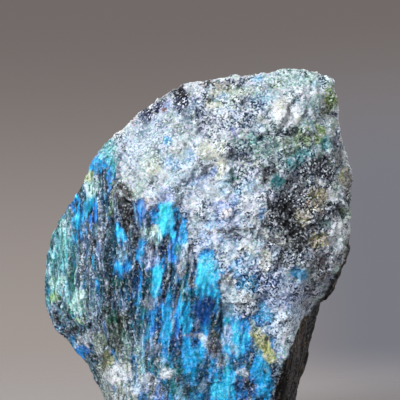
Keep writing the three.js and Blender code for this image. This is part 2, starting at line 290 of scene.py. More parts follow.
    ("petrol", -31.1, 54.8, 4.5, 0.75, 0, 0.6),
    ("petrol", -30.6, 49.8, 2.5, 0.75, 0, 0.4),
    ("green", -33.1, 35.8, 3.0, 0.65, 0, 0.6),
    ("deepteal", -32.1, 48.2, 4.0, 0.65, 0, 0.6),
    ("deepteal", -29.6, 41.8, 3.5, 0.65, 0, 0.6),
    ("green", -34.1, 52.2, 2.5, 0.6, 8, 0.5),
    ("darkolive", -35.3, 46.2, 3.0, 0.5, 5, 0.4),
    ("lime", -35.8, 39.5, 1.25, 0.75, 0, 0.7),
    ("olive", -34.8, 38.0, 1.25, 0.75, 0, 0.6),
    ("mint", -30.1, 37.5, 3.5, 2.0, 0, 0.95),
    ("lime", -29.6, 33.2, 1.0, 1.75, 0, 0.6),
    ("white", -28.1, 28.5, 1.75, 2.25, -30, 0.5),
    ("slate", -36.1, 35.8, 2.25, 1.0, 20, 0.5),
    ("brown", -32.6, 30.2, 0.75, 1.5, 0, 0.4),
    ("mauve", -25.3, 31.2, 2.5, 1.25, 0, 0.5),
    ("celadon", -25.1, 27.0, 2.5, 1.25, 0, 0.5),
    ("white", -26.6, 35.8, 2.0, 1.25, 0, 0.35),
    ("mint", -11.1, 54.8, 2.25, 2.25, 0, 0.55),
    ("celadon", -11.6, 56.2, 1.25, 1.5, 0, 0.5),
    ("mauve", -12.1, 50.8, 2.5, 1.75, 0, 0.6),
    ("mauve", -12.6, 37.5, 1.75, 1.75, 0, 0.7),
    ("peach", -11.6, 63.0, 1.5, 2.0, 0, 0.3),
    ("black", -6.6, 53.8, 2.5, 0.6, -10, 0.7),
    ("deepteal", -6.6, 44.0, 4.0, 0.9, 6, 0.8),
    ("black", -8.3, 44.2, 3.5, 0.45, 12, 0.7),
    ("mauve", -4.8, 46.2, 2.5, 0.75, 5, 0.5),
    ("peach", -3.6, 45.8, 2.5, 1.0, 5, 0.5),
    ("taupe", -1.1, 42.5, 1.75, 1.0, -40, 0.7),
    ("black", -4.8, 44.8, 1.5, 0.5, -30, 0.6),
    ("mauve", -1.6, 48.2, 3.0, 0.75, 0, 0.5),
    ("green", -3.6, 41.2, 2.5, 0.65, 0, 0.7),
    ("green", -4.6, 51.2, 1.5, 0.85, 0, 0.7),
    ("mauve", -5.3, 38.2, 3.5, 0.45, 8, 0.7),
    ("mauve", -6.3, 33.2, 3.0, 0.5, 8, 0.6),
    ("deepteal", -0.8, 36.8, 3.5, 1.25, 0, 0.85),
    ("black", 4.2, 36.8, 1.25, 0.75, 0, 0.8),
    ("black", 8.2, 55.8, 0.6, 6.5, 0, 0.8),
    ("white", 4.7, 54.2, 0.5, 5.0, 84, 0.5),
    ("slate", -2.6, 67.8, 3.5, 0.6, 58, 0.8),
    ("black", -4.1, 63.0, 3.0, 0.45, 38, 0.6),
    ("black", 6.4, 34.2, 4.5, 0.6, -4, 0.85),
    ("black", 1.9, 31.8, 1.0, 1.75, 0, 0.4),
    ("mauve", 0.2, 32.5, 1.5, 0.75, 0, 0.6),
    ("deepteal", -12.1, 42.2, 3.5, 0.75, 6, 0.85),
    ("deepteal", -15.8, 43.8, 3.5, 1.25, 4, 0.75),
    ("deepteal", -19.1, 41.2, 2.5, 3.5, 0, 0.6),
    ("green", -19.6, 43.2, 1.25, 2.0, 0, 0.5),
    ("deepteal", -14.1, 34.2, 3.0, 1.25, 0, 0.6),
    ("mauve", -1.6, 29.8, 0.75, 2.5, 0, 0.6),
    ("white", 1.7, 29.2, 1.0, 2.0, 60, 0.6),
    ("black", -6.1, 28.8, 2.5, 0.75, 0, 0.6),
    ("mauve", -9.1, 38.8, 0.75, 1.5, 0, 0.4),
    ("deepblue", 2.2, 36.0, 3.75, 2.75, 0, 1.0),
    ("deepblue", -15.6, 43.0, 3.0, 1.0, 4, 0.5),
    ("darkolive", -23.3, 35.8, 2.0, 1.25, 0, 0.6),
    ("darkolive", -19.8, 32.5, 3.25, 2.5, 0, 0.9),
    ("darkolive", -19.6, 28.0, 2.5, 2.25, 0, 0.8),
    ("olive", -23.1, 23.2, 3.0, 0.85, 0, 0.9),
    ("straw", -22.1, 22.8, 1.25, 0.6, 5, 0.4),
    ("white", -19.6, 19.8, 2.25, 3.0, 0, 0.75),
    ("ice", -16.1, 17.8, 2.5, 3.0, 0, 0.3),
    ("seagrey", -22.6, 16.8, 2.0, 1.5, 0, 0.4),
    ("white", -7.6, 19.8, 1.5, 2.0, 0, 0.7),
    ("mint", -13.6, 21.8, 2.25, 0.75, 0, 0.5),
    ("darkolive", -10.1, 23.8, 1.25, 1.0, 0, 0.8),
    ("darkolive", -17.1, 35.8, 2.25, 1.5, 0, 0.6),
    ("green", -21.1, 34.2, 2.25, 1.25, 0, 0.45),
    ("darkolive", -14.3, 31.2, 2.25, 1.5, 0, 0.55),
    ("green", -18.1, 29.2, 1.75, 1.25, 0, 0.4),
    ("dark", -5.1, 24.2, 2.5, 1.25, 0, 0.45),
    ("mist", -9.1, 22.2, 2.0, 1.5, 0, 0.4),
    ("dark", -2.8, 17.5, 2.0, 1.5, 0, 0.5),
    ("ice", 1.9, 16.8, 1.5, 1.25, 0, 0.4),
    ("dark", 9.9, 22.2, 1.5, 1.25, 0, 0.4),
    ("mist", 9.7, 26.2, 1.5, 1.25, 0, 0.45),
    ("mist", -4.6, 14.2, 2.5, 1.5, 0, 0.3),
    ("slate", -19.6, 36.8, 2.0, 2.25, 0, 0.5),
    ("seagrey", -16.3, 27.2, 2.5, 2.5, 0, 0.55),
    ("mint", -14.1, 25.8, 1.5, 1.5, 0, 0.3),
    ("mauve", -11.1, 27.2, 2.5, 1.75, 0, 0.55),
    ("olive", -24.6, 28.5, 1.75, 1.75, 0, 0.45),
    ("white", -12.1, 17.8, 2.0, 2.5, 0, 0.45),
    ("darkolive", -9.1, 26.2, 1.25, 0.75, 0, 0.5),
    ("white", -17.6, 15.2, 1.5, 3.0, 0, 0.25),
    ("taupe", 4.4, 26.8, 3.0, 2.0, 0, 0.8),
    ("olive", 4.7, 29.8, 1.0, 1.25, 0, 0.7),
    ("umber", 4.2, 25.8, 1.25, 1.0, 0, 0.7),
    ("mauve", 6.4, 23.2, 2.0, 1.25, 20, 0.6),
    ("lilac", 8.2, 29.8, 2.5, 1.0, 0, 0.7),
    ("black", -1.6, 15.8, 1.25, 2.25, 0, 0.7),
    ("teal", -6.3, 16.2, 2.0, 1.25, 0, 0.7),
    ("deepteal", -4.6, 22.2, 4.0, 1.0, 0, 0.7),
    ("black", 2.7, 20.8, 3.5, 0.75, 0, 0.7),
    ("deepteal", 0.9, 19.8, 3.0, 1.25, 0, 0.6),
    ("white", 11.7, 19.8, 1.25, 1.5, 0, 0.5),
    ("black", 11.9, 16.8, 1.25, 2.0, 0, 0.5),
    ("rust", 12.4, 18.2, 0.75, 1.0, 0, 0.35),
    ("black", 2.9, 15.8, 2.25, 1.0, 5, 0.6),
    ("mauve", -10.3, 15.2, 2.0, 2.0, 0, 0.4),
    ("indigo", 10.9, 23.2, 1.5, 1.75, 0, 0.5),
]
# The same for broad, ragged washes of colour that go on first.
FIELDS = [
    ("ice", -5.3, 73.8, 11.25, 15.0, 0, 0.35),
    ("periwinkle", 2.2, 58.2, 7.0, 12.5, 60, 0.22),
    ("mist", 24.7, 91.2, 6.0, 12.5, 0, 0.45),
    ("slate", -2.8, 88.2, 3.5, 12.5, 60, 0.35),
    ("seagrey", 24.7, 77.5, 7.0, 11.25, 0, 0.65),
    ("dark", 27.4, 62.5, 11.5, 10.5, 0, 0.75),
    ("taupe", 32.2, 47.5, 8.0, 5.5, 0, 0.5),
    ("periwinkle", 18.9, 39.8, 10.5, 9.5, 0, 0.5),
    ("sky", 22.2, 31.8, 6.25, 5.5, 20, 0.3),
    ("aqua", -34.1, 48.2, 13.0, 4.0, 4, 0.75),
    ("seagrey", -32.6, 51.2, 11.0, 5.0, 4, 0.4),
    ("teal", -33.1, 50.0, 12.5, 3.5, 4, 0.4),
    ("mauve", -24.1, 55.0, 10.0, 6.5, 0, 0.2),
    ("slate", -17.1, 50.0, 10.0, 5.0, 0, 0.3),
    ("steel", -20.6, 45.8, 9.0, 5.0, 0, 0.5),
    ("deepteal", -23.1, 48.2, 10.0, 2.0, 0, 0.4),
    ("lilac", -11.6, 57.5, 5.5, 3.5, 0, 0.45),
    ("seagrey", -29.1, 38.8, 6.0, 4.0, 0, 0.5),
    ("darkolive", -19.6, 31.8, 9.0, 7.5, 0, 0.55),
    ("deepteal", -17.6, 41.8, 4.0, 7.5, 0, 0.6),
    ("celadon", -19.1, 17.5, 6.5, 15.0, 90, 0.5),
    ("white", -17.1, 18.8, 4.0, 7.5, 0, 0.12),
    ("deepteal", 2.2, 34.2, 8.5, 6.0, 0, 0.55),
    ("deepteal", -1.6, 23.8, 8.5, 3.5, 0, 0.4),
]
# Labradorescent flashes: x, z, half length, half width, lean, strength, hue (-1 sea green, 0 azure, 1 royal blue).
FLASHES = [
    (-24.8, 73.5, 3.75, 1.25, 28, 0.66, -0.1),
    (-22.1, 70.2, 2.25, 1.0, 10, 0.5, 0.3),
    (-23.3, 73.5, 1.5, 0.75, 10, 0.6, 0),
    (-27.1, 62.8, 3.0, 1.5, 25, 0.62, -0.5),
    (-29.6, 58.8, 4.75, 1.38, 3, 0.78, 0),
    (-25.8, 60.8, 3.0, 0.85, 8, 0.6, 0.8),
    (-23.3, 63.0, 4.5, 1.0, 0, 0.38, -0.2),
    (-26.3, 48.8, 3.0, 1.0, 5, 0.62, -0.55),
    (-20.3, 55.8, 2.5, 0.75, -2, 0.8, 0),
    (-18.6, 53.0, 2.5, 1.12, -4, 0.8, 0),
    (-19.3, 46.8, 2.25, 1.5, -6, 0.8, 0.4),
    (-17.3, 47.5, 2.25, 0.75, 8, 0.7, 0.3),
    (-14.3, 51.2, 3.75, 1.0, 0, 0.68, 0.1),
    (-13.6, 61.8, 1.75, 1.0, 0, 0.55, 0.4),
    (-10.8, 59.8, 3.25, 1.25, 0, 0.55, 0.2),
    (-7.3, 59.2, 4.0, 2.25, 0, 1.25, -0.05),
    (-7.1, 59.8, 3.25, 1.75, 0, 1.6, -0.1),
    (-7.6, 62.2, 2.0, 2.25, 0, 0.7, -0.2),
    (-3.1, 54.8, 4.0, 0.88, 0, 0.75, 0.05),
    (-6.1, 52.2, 2.25, 1.75, 0, 0.5, 0.3),
    (-5.8, 49.8, 2.75, 2.0, 0, 0.52, 0.5),
    (-10.3, 43.0, 5.25, 1.62, 12, 1.15, 0.05),
    (-5.8, 42.8, 5.5, 1.25, 7, 0.48, -0.1),
    (-7.3, 36.2, 5.5, 2.0, 8, 0.74, 0.1),
    (-7.8, 30.5, 3.0, 1.5, 6, 0.82, -0.1),
    (-12.3, 35.0, 3.0, 1.5, 5, 0.42, 0.2),
    (-13.3, 30.8, 2.25, 1.25, 5, 0.6, -0.4),
    (-2.6, 33.2, 4.25, 1.75, 8, 0.86, -0.1),
    (-2.3, 26.2, 5.5, 2.0, 6, 0.76, 0.15),
    (-1.3, 20.5, 4.5, 2.0, 4, 0.62, -0.1),
    (2.7, 46.0, 4.5, 3.0, 4, 1.1, -0.05),
    (1.4, 41.5, 3.25, 2.75, -25, 0.8, -0.05),
    (4.7, 39.2, 4.5, 1.25, 0, 0.78, -0.1),
    (2.2, 36.8, 4.5, 3.0, 0, 0.36, 0.35),
    (8.4, 35.8, 2.25, 2.0, 0, 0.6, -0.1),
    (11.7, 28.8, 4.25, 2.25, 10, 0.82, 0.15),
    (10.2, 24.5, 2.75, 1.75, 0, 0.5, 0.8),
    (14.9, 21.8, 4.25, 1.12, 16, 0.78, 0.3),
    (7.4, 16.8, 4.5, 3.25, 8, 1.0, -0.05),
    (4.9, 15.2, 3.0, 1.5, 8, 0.72, 0.2),
    (-28.6, 25.8, 1.5, 1.25, 0, 0.5, 0.4),
    (-6.1, 16.2, 2.25, 1.5, 0, 0.42, -0.8),
    (17.4, 17.5, 3.5, 2.25, 15, 0.62, -0.1),
    (-18.6, 39.2, 3.0, 2.25, 0, 0.35, -0.2),
    (-15.1, 41.2, 4.0, 1.5, 4, 0.42, 0.1),
    (-0.1, 38.8, 2.5, 1.25, 0, 0.3, 0.1),
    (12.9, 42.8, 2.25, 2.25, 0, 0.7, -0.05),
    (17.2, 35.5, 1.75, 2.75, 60, 0.6, 0),
    (10.4, 46.8, 2.5, 1.75, 0, 0.5, 0.2),
    (14.9, 33.2, 2.0, 1.5, 30, 0.55, 0.1),
]
STRIATED_SIDE = [(-21.1, 81.8), (-19.6, 63.8), (-11.6, 63.0), (-4.6, 62.2), (-1.1, 52.5), (6.9, 39.2), (12.4, 31.8), (19.9, 27.5), (23.9, 13.8), (23.9, -6.2), (-54.1, -6.2), (-54.1, 81.8)]
SHADED_FLANK = [(38.9, 58.2), (38.2, 54.8), (36.9, 49.2), (34.4, 45.0), (31.9, 40.5), (29.7, 37.5), (27.2, 34.2), (24.9, 31.0), (24.2, 28.0), (23.4, 25.8), (21.2, 22.8), (20.7, 19.2), (19.4, 16.5), (16.9, 13.5), (14.7, 8.8), (13.4, -3.8), (55.9, -3.8), (55.9, 58.2)]
# -- patches end


# ---------------------------------------------------------------- noise
def _mix(h):
    h = h ^ (h >> np.uint32(15)); h = h * np.uint32(0x2C1B3C6D)
    h = h ^ (h >> np.uint32(12)); h = h * np.uint32(0x297A2D39)
    return h ^ (h >> np.uint32(15))


def _hash(i, seed):
    u = i.astype(np.int64).astype(np.uint32)
    return _mix(u[:, 0] * np.uint32(0x8DA6B343) ^ u[:, 1] * np.uint32(0xD8163841)
                ^ u[:, 2] * np.uint32(0xCB1AB31F) ^ np.uint32(seed * 2654435761 % 4294967296))


def pick(h, k):
    """The k-th random number, 0 to 1, that belongs to each hash."""
    return _mix(h + np.uint32(k * 2246822519 % 4294967296)).astype(np.float64) / 4294967296.0


_g = np.random.RandomState(7).normal(size=(64, 3))
_g /= np.linalg.norm(_g, axis=1)[:, None]


def perlin(p, seed=0):
    i = np.floor(p); f = p - i
    s = f * f * f * (f * (f * 6 - 15) + 10)
    total = np.zeros(len(p))
    for c in range(8):
        o = np.array([c & 1, c >> 1 & 1, c >> 2 & 1], float)
        g = _g[_hash(i + o, seed) & np.uint32(63)]
        w = np.prod(np.where(o > 0, s, 1 - s), axis=1)
        total += w * np.einsum("ij,ij->i", g, f - o)
    return total * 1.5


def fbm(p, size, octaves=4, seed=0, gain=0.5):
    q = p / size
    total = np.zeros(len(p)); a = 1.0; norm = 0.0
    for k in range(octaves):
        total += a * perlin(q * 2.03 ** k + 17.3 * k, seed + k)
        norm += a; a *= gain
    return total / norm * 1.6


def cells(p, seed=0):
    """Voronoi: the nearest cell's hash, the way from its middle, and how near the border is (0 on it)."""
    i = np.floor(p)
    best = np.full(len(p), 9.0); second = best.copy()
    who = np.zeros(len(p), np.uint32); way = np.zeros_like(p)
    for dx in (-1, 0, 1):
        for dy in (-1, 0, 1):
            for dz in (-1, 0, 1):
                c = i + (dx, dy, dz)
                h = _hash(c, seed)
                m = c + np.stack([pick(h, 1), pick(h, 2), pick(h, 3)], 1)
                v = p - m
                d = np.einsum("ij,ij->i", v, v)
                near = d < best
                second = np.where(near, best, np.minimum(second, d))
                who = np.where(near, h, who); way = np.where(near[:, None], v, way)
                best = np.where(near, d, best)
    return who, way, np.sqrt(second) - np.sqrt(best)


def smooth(x, a, b):
    t = np.clip((x - a) / (b - a), 0, 1)
    return t * t * (3 - 2 * t)


def polygon_distance(x, z, points):
    """Signed distance to a polygon, above 0 inside."""
    best = np.full(len(x), 1e9); inside = np.zeros(len(x), bool)
    for (ax, az), (bx, bz) in zip(points, points[1:] + points[:1]):
        ex, ez = bx - ax, bz - az
        t = np.clip(((x - ax) * ex + (z - az) * ez) / (ex * ex + ez * ez), 0, 1)
        best = np.minimum(best, np.hypot(x - ax - ex * t, z - az - ez * t))
        if bz != az:
            inside ^= ((az > z) != (bz > z)) & (x < ax + (z - az) / ez * ex)
    return np.where(inside, best, -best)


# ---------------------------------------------------------------- the fine mesh
def front_view(p):
    """x and z, mm, of points seen from EYE, on the plane of the rim."""
    k = (FRONT_PLANE - EYE[1]) / (p[:, 1] - EYE[1])
    return EYE[0] + (p[:, 0] - EYE[0]) * k, EYE[2] + (p[:, 2] - EYE[2]) * k


def arrays(mesh):
    p = np.empty(len(mesh.vertices) * 3); mesh.vertices.foreach_get("co", p)
    e = np.empty(len(mesh.edges) * 2, np.int32); mesh.edges.foreach_get("vertices", e)
    return p.reshape(-1, 3) / MM, e.reshape(-1, 2)


def vertex_normals(mesh):
    n = np.empty(len(mesh.vertices) * 3); mesh.vertex_normals.foreach_get("vector", n)
    return n.reshape(-1, 3)


def relax(values, edges, passes, amount=0.5):
    """Moves each value towards the mean of its neighbours."""
    n = len(values)
    a = np.concatenate([edges[:, 0], edges[:, 1]]); b = np.concatenate([edges[:, 1], edges[:, 0]])
    count = np.maximum(np.bincount(a, minlength=n), 1)
    for _ in range(passes):
        mean = np.stack([np.bincount(a, weights=values[b, k], minlength=n) for k in range(values.shape[1])], 1)
        values = values + amount * (mean / count[:, None] - values)
    return values


def put(mesh, p):
    mesh.vertices.foreach_set("co", (p * MM).ravel()); mesh.update()


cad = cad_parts[NODE]
source = bpy.data.objects.new("work", cad.data.copy())
scene.collection.objects.link(source)
work = bmesh.new(); work.from_mesh(source.data)
bmesh.ops.remove_doubles(work, verts=work.verts, dist=1e-6)
work.to_mesh(source.data); work.free()
mod = source.modifiers.new("grid", "REMESH")
mod.mode = "VOXEL"; mod.voxel_size = FINE * MM; mod.adaptivity = 0.0
mesh = bpy.data.meshes.new_from_object(source.evaluated_get(bpy.context.evaluated_depsgraph_get()))
bpy.data.objects.remove(source)
mesh.materials.clear()
for name in [a.name for a in mesh.attributes if not a.is_required and not a.is_internal]:
    mesh.attributes.remove(mesh.attributes[name])

p, edges = arrays(mesh)
foot = p[:, 2] < 0.45
q = relax(p, edges, 7)
q[foot, 2] = 0.0
put(mesh, q)

# Twice as fine where the broad face, its rim and the right flank show.
normal = relax(vertex_normals(mesh), edges, 3)
view = q - EYE
facing = -np.einsum("ij,ij->i", normal, view / np.linalg.norm(view, axis=1)[:, None])
fine = (facing > -0.07) & (q[:, 2] > 0.6)
work = bmesh.new(); work.from_mesh(mesh); work.verts.ensure_lookup_table()
chosen = [e for e in work.edges if fine[e.verts[0].index] and fine[e.verts[1].index]]
bmesh.ops.subdivide_edges(work, edges=chosen, cuts=1, use_grid_fill=True)
bmesh.ops.triangulate(work, faces=work.faces, quad_method="SHORT_EDGE", ngon_method="BEAUTY")
work.to_mesh(mesh); work.free()

p, edges = arrays(mesh)
q = relax(p, edges, 3)
on_foot = p[:, 2] < 0.3
q[on_foot] = p[on_foot]; q[on_foot, 2] = 0.0
p = q
put(mesh, p)
normal = relax(vertex_normals(mesh), edges, 4)
normal /= np.linalg.norm(normal, axis=1)[:, None]
fx, fz = front_view(p)
print("mesh", len(p), "points", len(mesh.polygons), "triangles")

# ---------------------------------------------------------------- where things are
view = p - EYE
facing = -np.einsum("ij,ij->i", normal, view / np.linalg.norm(view, axis=1)[:, None])
over = fbm(p, 9.0, 4, 33)                      # the front's colours run raggedly over the rim
seen = np.maximum(smooth(facing + 0.30 * over, -0.34, -0.08), smooth(p[:, 1] - FRONT_PLANE - 9.0 * over, 6.0, 2.0) * smooth(p[:, 2], 20.0, 30.0))
warp = np.stack([fbm(p, 7.0, 3, 11), fbm(p, 7.0, 3, 12), fbm(p, 7.0, 3, 13)], 1)

# The splinters run nearly straight up and fan out a little: u is across them, v along.
LEAN_AT = [-45.0, -32.0, -24.0, -17.0, -10.0, -5.0, 2.0, 8.0, 16.0, 30.0]
LEAN = [-3.0, -3.0, -3.0, 1.0, 8.0, 9.0, 4.0, 6.0, 9.0, 4.0]
slope = np.tan(np.radians(np.interp(fx, LEAN_AT, LEAN)))
u = p[:, 0] - slope * (p[:, 2] - 45.0) + 0.9 * fbm(p, 14.0, 3, 21)
v = p[:, 2] + slope * p[:, 0] * 0.3
flow = np.stack([u, p[:, 1] + 0.6 * fbm(p, 11.0, 2, 22), v], 1)

edge_of = polygon_distance(fx + 1.6 * warp[:, 0], fz + 2.2 * warp[:, 1], STRIATED_SIDE)
splinter_front = smooth(edge_of, -0.8, 1.0) * seen
hidden = 1 - seen
splinter_back = smooth(fbm(p * (1, 1, 0.7), 19.0, 3, 31) + 0.1 * warp[:, 1], -0.30, -0.05) * hidden
splintery = np.clip(splinter_front + splinter_back, 0, 1)
flank = smooth(polygon_distance(fx + 0.3 * warp[:, 0], fz + 0.3 * warp[:, 2], SHADED_FLANK), -0.25, 0.35)
flank = flank * smooth(normal[:, 0], 0.2, 0.5) * smooth(fx, 5.0, 8.0)
torn_edge = fbm(p, 12.0, 5, 32)
mottled = fbm(p, 5.0, 4, 34)
bare = smooth(mottled + 0.4 * torn_edge, -0.14, -0.30) * smooth(facing, 0.05, -0.10)      # where the rind has come off
round_corner = smooth(facing, 0.12, 0.0) * smooth(normal[:, 0] + 0.50 * torn_edge + 0.15 * mottled, 0.40, 0.62) * smooth(54 - p[:, 2] + 22 * torn_edge + 6 * mottled, -2, 4)
flank = np.maximum(flank, round_corner) * (1 - 0.85 * bare)

# ---------------------------------------------------------------- relief
def plates(q, seed, level, tilt, across=(1.0, 1.0, 1.0)):
    """Flat chips at random heights and tilts: height, and the chip's hash."""
    who, way, border = cells(q / across, seed)
    t = np.stack([pick(who, 5), pick(who, 6), pick(who, 7)], 1) - 0.5
    return level * (pick(who, 4) - 0.5) + tilt * np.einsum("ij,ij->i", t, way), who, border


def blob(x, z, half_long, half_wide, lean, gx, gz):
    """1 in the middle of a leaning oval, 0 on its edge, below 0 outside it."""
    a = math.radians(lean)
    along = (gx - x) * math.sin(a) + (gz - z) * math.cos(a)
    across = (gx - x) * math.cos(a) - (gz - z) * math.sin(a)
    return 1 - np.sqrt((along / half_long) ** 2 + (across / half_wide) ** 2)


bent = p + 0.5 * warp
ends = fbm(flow / (1.0, 1.0, 9.0), 2.2, 2, 89)              # splinters end at uneven heights
flow_bent = flow + np.stack([0.25 * warp[:, 1], 0.25 * warp[:, 2], 0.5 * warp[:, 0] + 8.0 * ends], 1)
s1, s1_who, s1_border = plates(flow_bent, 41, 0.95, 0.9, (3.3, 4.0, 17.0))
s2, s2_who, s2_border = plates(flow_bent, 42, 0.60, 0.8, (1.55, 2.0, 8.5))
s3, s3_who, s3_border = plates(flow_bent, 43, 0.30, 0.45, (0.85, 1.1, 4.2))
g1, g1_who, g1_border = plates(bent, 51, 0.8, 1.7, (5.2, 5.2, 5.2))
g2, g2_who, g2_border = plates(bent, 52, 0.38, 0.85, (2.2, 2.2, 2.2))
g3, g3_who, g3_border = plates(bent, 53, 0.13, 0.26, (0.95, 0.95, 0.95))
f1, f1_who, f1_border = plates(flow_bent, 61, 0.8, 1.1, (3.0, 5.0, 9.0))
chips, chips_who, _ = plates(bent, 62, 0.8, 1.3, (9.0, 9.0, 9.0))

relief = 0.7 * (1 - 0.75 * splinter_front) * chips + 0.35 * fbm(p, 5.0, 4, 71)
grainy = g1 + g2 + g3 + 0.08 * fbm(p, 1.1, 2, 72)
splinters = s1 + s2 + s3
rind = f1 + 0.5 * g2 + 0.5 * s2
lumpy = 0.60 * smooth(fz + 3.0 * over, 33.0, 22.0) * splinter_front      # near the foot the splinters are broken up
ribbed = splintery * (1 - lumpy)
detail = ribbed * splinters + (1 - ribbed) * grainy
detail = detail * (1 - flank) + rind * flank
cleaved = np.zeros(len(p))                     # a flash lies on a flatter cleavage plane
for x, z, half_long, half_wide, lean, strength, _ in FLASHES:
    cleaved = np.maximum(cleaved, min(strength, 1.0) * smooth(blob(x, z, 1.2 * half_long, 1.2 * half_wide, lean, fx, fz), -0.2, 0.4))
detail = detail * (1 - 0.5 * cleaved * splinter_front)
relief = relief + detail * (0.55 + 0.45 * smooth(facing, 0.15, 0.6))

rest = smooth(p[:, 2], 0.0, 2.2)              # the foot stays flat
rest = np.where(on_foot, 0.0, rest)
relief = relief * rest
mean = relax(relief[:, None], edges, 10, 0.5)[:, 0]
cavity = relief - mean                         # above 0 on edges, below 0 in grooves
relief = relief - 0.6 * splinter_front * rest * smooth(facing, 0.15, 0.55)  # the splintery part lies a little lower
relief = relief + 0.35 * splinter_front * rest * smooth(facing, 0.45, 0.10)      # but its rim stands proud
p = p + normal * relief[:, None]
low, high = np.array(cad_box[0]) / MM, np.array(cad_box[1]) / MM
p[:, 2] = np.maximum(p[:, 2], 0.0)
p = np.clip(p, low - 0.3, high + 0.3)
p[:, 2] = np.clip(p[:, 2], 0.0, high[2])
put(mesh, p)

# ---------------------------------------------------------------- paint
def linear(rgb):
    c = np.asarray(rgb, float) / 255.0
    return np.where(c <= 0.04045, c / 12.92, ((c + 0.055) / 1.055) ** 2.4)


COLOUR = {k: linear(c) for k, c in PALETTE.items()}


def blend(base, colour, amount):
    return base + (np.asarray(colour) - base) * np.clip(amount, 0, 1)[:, None]


def choose(random, names):
    """One of the named colours for each random number, 0 to 1."""
    table = np.array([COLOUR[n] for n in names])
    return table[np.minimum((random * len(names)).astype(int), len(names) - 1)]


n1 = fbm(p, 9.0, 4, 81); n2 = fbm(p, 4.0, 3, 82); n3 = fbm(p, 1.8, 3, 83); n4 = fbm(p, 16.0, 3, 84)
n5 = fbm(p, 0.9, 2, 85)
streak = fbm(flow_bent / (1.0, 1.3, 5.0), 2.3, 3, 86)      # long soft streaks along the splinters
fleck = fbm(flow_bent / (1.0, 1.2, 2.2), 1.1, 3, 87)
fibre = fbm(flow_bent / (1.0, 1.0, 8.0), 0.85, 2, 88)        # hair-fine fibres
r_s1, r_s2, r_s3 = pick(s1_who, 9), pick(s2_who, 9), pick(s3_who, 9)
r_g1, r_g2, r_g3 = pick(g1_who, 9), pick(g2_who, 9), pick(g3_who, 9)

# crushed grain: facets of many pale tints, with ragged borders
ragged = 0.5 * n3[:, None] + 0.4 * n5[:, None]
tone = np.clip(0.5 + 0.55 * n2 + 0.25 * n5, 0, 1)
grain = choose(r_g1, ("ice", "white", "mist", "ice", "periwinkle", "celadon", "ice", "mist"))
grain = blend(grain, choose(r_g2, ("white", "ice", "sky", "white", "lilac", "cream", "mist", "slate", "ice", "mauve")), 0.45 + 0.35 * (r_g3 - 0.5) + 0.3 * n3)
grain = blend(grain, choose(r_g3, ("white", "ice", "slate", "white", "paleblue", "mist", "lilac", "dark")), 0.28 + 0.3 * n5)
grain = blend(grain, COLOUR["white"], smooth(-n2 - 0.3 * n3, 0.1, 0.6) * 0.5)
grain = blend(grain, COLOUR["celadon"], smooth(n1 - 0.2 * n3, 0.12, 0.45) * 0.35)
grain = blend(grain, COLOUR["periwinkle"], smooth(-n1 - 0.3 * n2, 0.05, 0.45) * 0.45)
clump = smooth(0.7 * n2 + 0.75 * n3 + 0.35 * n1, 0.06, 0.42)       # crushed darker grain, in clumps
clear = smooth(-0.9 * n2 - 0.5 * n3 + 0.2 * n1, -0.02, 0.30)       # clearer, paler feldspar between them
grain = blend(grain, choose(r_g3, ("slate", "mauve", "steel", "slate", "dark", "seagrey")), clump * (0.78 + 0.3 * (r_g2 - 0.5)))
grain = blend(grain, choose(r_g1, ("cream", "ice", "white", "celadon", "white", "mint", "ice", "paleblue")), clear * 0.5) * (0.87 - 0.09 * smooth(fz, 48.0, 80.0))[:, None]

# splinters: grey, mauve and sea-dark streaks, with flashes between them
splint = choose(r_s1, ("deepteal", "steel", "dark", "seagrey", "deepteal", "mauve", "steel", "petrol"))
splint = blend(splint, choose(r_s2, ("deepteal", "black", "steel", "dark", "mist", "petrol", "deepblue", "lilac", "deepteal", "steel")), 0.62 + 0.3 * streak)
splint = blend(splint, choose(r_s3, ("dark", "sky", "deepteal", "black", "steel", "ice", "petrol")), 0.36 + 0.3 * fleck)

# hidden sides: darker, greener, with fewer flashes
back = np.tile(linear((112, 124, 130)), (len(p), 1))
back = blend(back, COLOUR["slate"], smooth(n1, -0.1, 0.3) * 0.6)
back = blend(back, COLOUR["ice"], smooth(n2 + 0.5 * n4, 0.0, 0.4) * 0.8)
back = blend(back, COLOUR["olive"], smooth(-n2 - 0.5 * n1, 0.12, 0.5) * 0.55)
back = blend(back, COLOUR["dark"], smooth(-n2 + 0.5 * n3 - 0.4 * n4, 0.30, 0.55) * 0.75)
back = blend(back, COLOUR["petrol"], smooth(n4 - 0.4 * n1, 0.15, 0.45) * 0.5)
back = blend(back, splint, splintery * 0.75)
back = blend(back, grain, (1 - splintery) * 0.55)

tint = blend(grain, splint, splintery)
tint = blend(tint, back, hidden * 0.9)

# broad washes on the broad face
own = np.where(splintery > 0.5, 0.8 * (r_s2 - 0.5) + 0.4 * (r_s3 - 0.5) + 0.5 * streak, 0.5 * (r_g2 - 0.5) + 0.35 * n3)
for colour, x, z, half_long, half_wide, lean, amount in FIELDS:
    m = 1.10 * blob(x, z, half_long, half_wide, lean, fx + 1.5 * warp[:, 0], fz + 1.5 * warp[:, 1]) + 0.10 + 0.7 * own
    tint = blend(tint, COLOUR[colour], smooth(m, -0.05, 0.5) * seen * amount)

